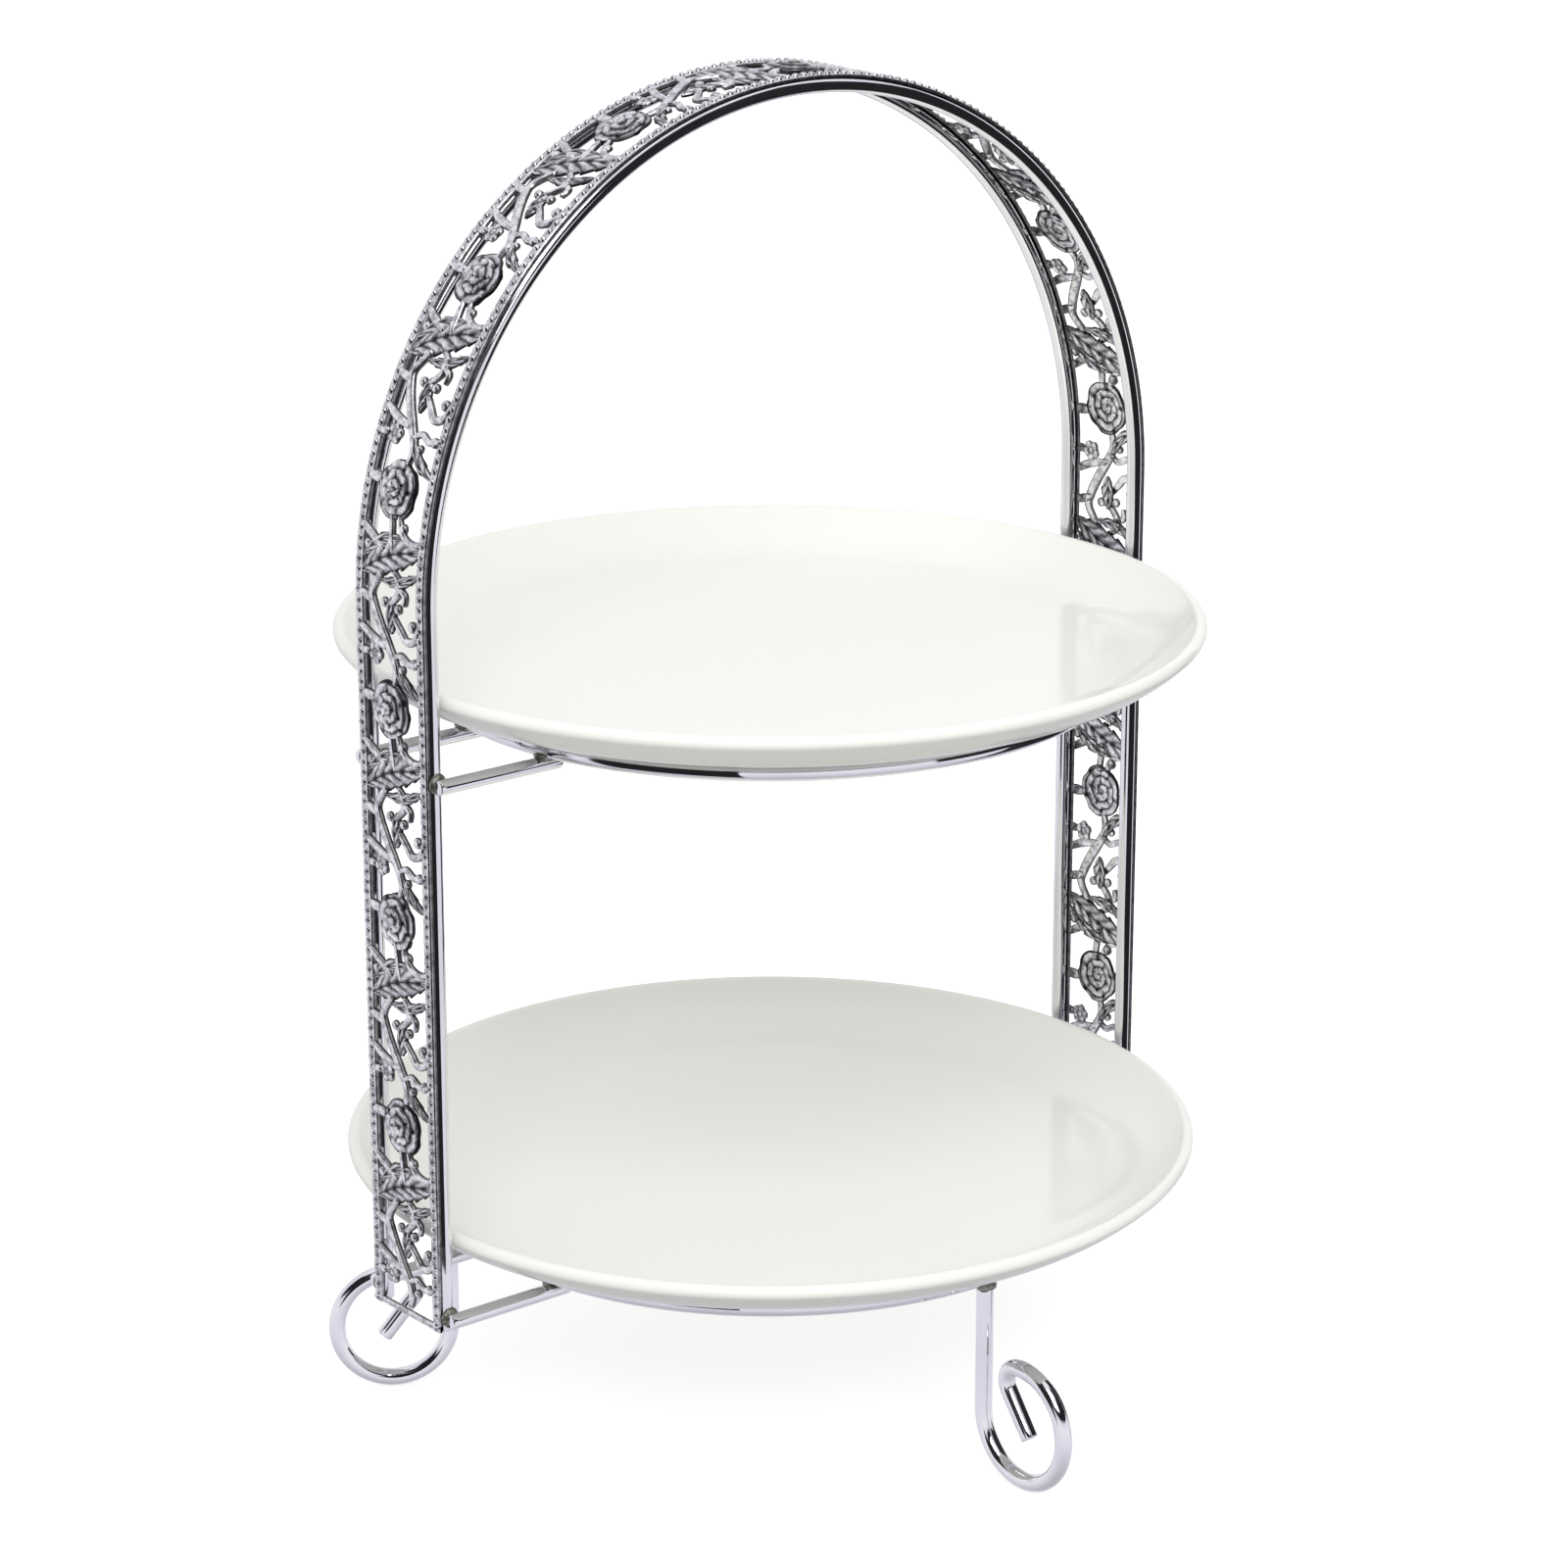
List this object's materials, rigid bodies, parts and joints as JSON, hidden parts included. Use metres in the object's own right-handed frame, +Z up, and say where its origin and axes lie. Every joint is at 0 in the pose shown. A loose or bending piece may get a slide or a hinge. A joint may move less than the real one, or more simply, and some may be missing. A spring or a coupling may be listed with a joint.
{
  "type": "tiered cake stand",
  "caption": "Two-tier cake stand: arched chrome wires with a pierced rose band carry two wire rings on scrolled feet, each ring holding a loose white coupe plate.",
  "frame": {"origin": "on the stand's upright axis at table level, under the centre of both plates", "axes": "+Z up, the arch stands in the XZ plane, -Y is the front with the middle foot"},
  "size_m": [0.211, 0.206, 0.3116],
  "materials": {
    "wire_chrome": "polished chrome plate",
    "band_chrome": "stamped chrome plate, dark in the recesses",
    "porcelain": "smooth white glaze"
  },
  "bodies": {
    "stand": {"front_arch_wire": "wire_chrome", "rear_arch_wire": "wire_chrome", "lace_band": "band_chrome", "upper_ring": "wire_chrome", "lower_ring": "wire_chrome", "upper_left_front_rod": "wire_chrome", "upper_left_rear_rod": "wire_chrome", "upper_right_front_rod": "wire_chrome", "upper_right_rear_rod": "wire_chrome", "lower_left_front_rod": "wire_chrome", "lower_left_rear_rod": "wire_chrome", "lower_right_front_rod": "wire_chrome", "lower_right_rear_rod": "wire_chrome", "foot_left": "wire_chrome", "foot_front": "wire_chrome", "foot_right": "wire_chrome"},
    "upper_plate_body": {"upper_plate": "porcelain"},
    "lower_plate_body": {"lower_plate": "porcelain"}
  },
  "joints": [
    {"name": "upper_plate_lift_out", "type": "slide", "parent": "stand", "child": "upper_plate_body", "axis": [0, -0.8829, 0.4695], "range_m": [0, 0.24]},
    {"name": "lower_plate_lift_out", "type": "slide", "parent": "stand", "child": "lower_plate_body", "axis": [0, -0.8829, 0.4695], "range_m": [0, 0.24]}
  ]
}
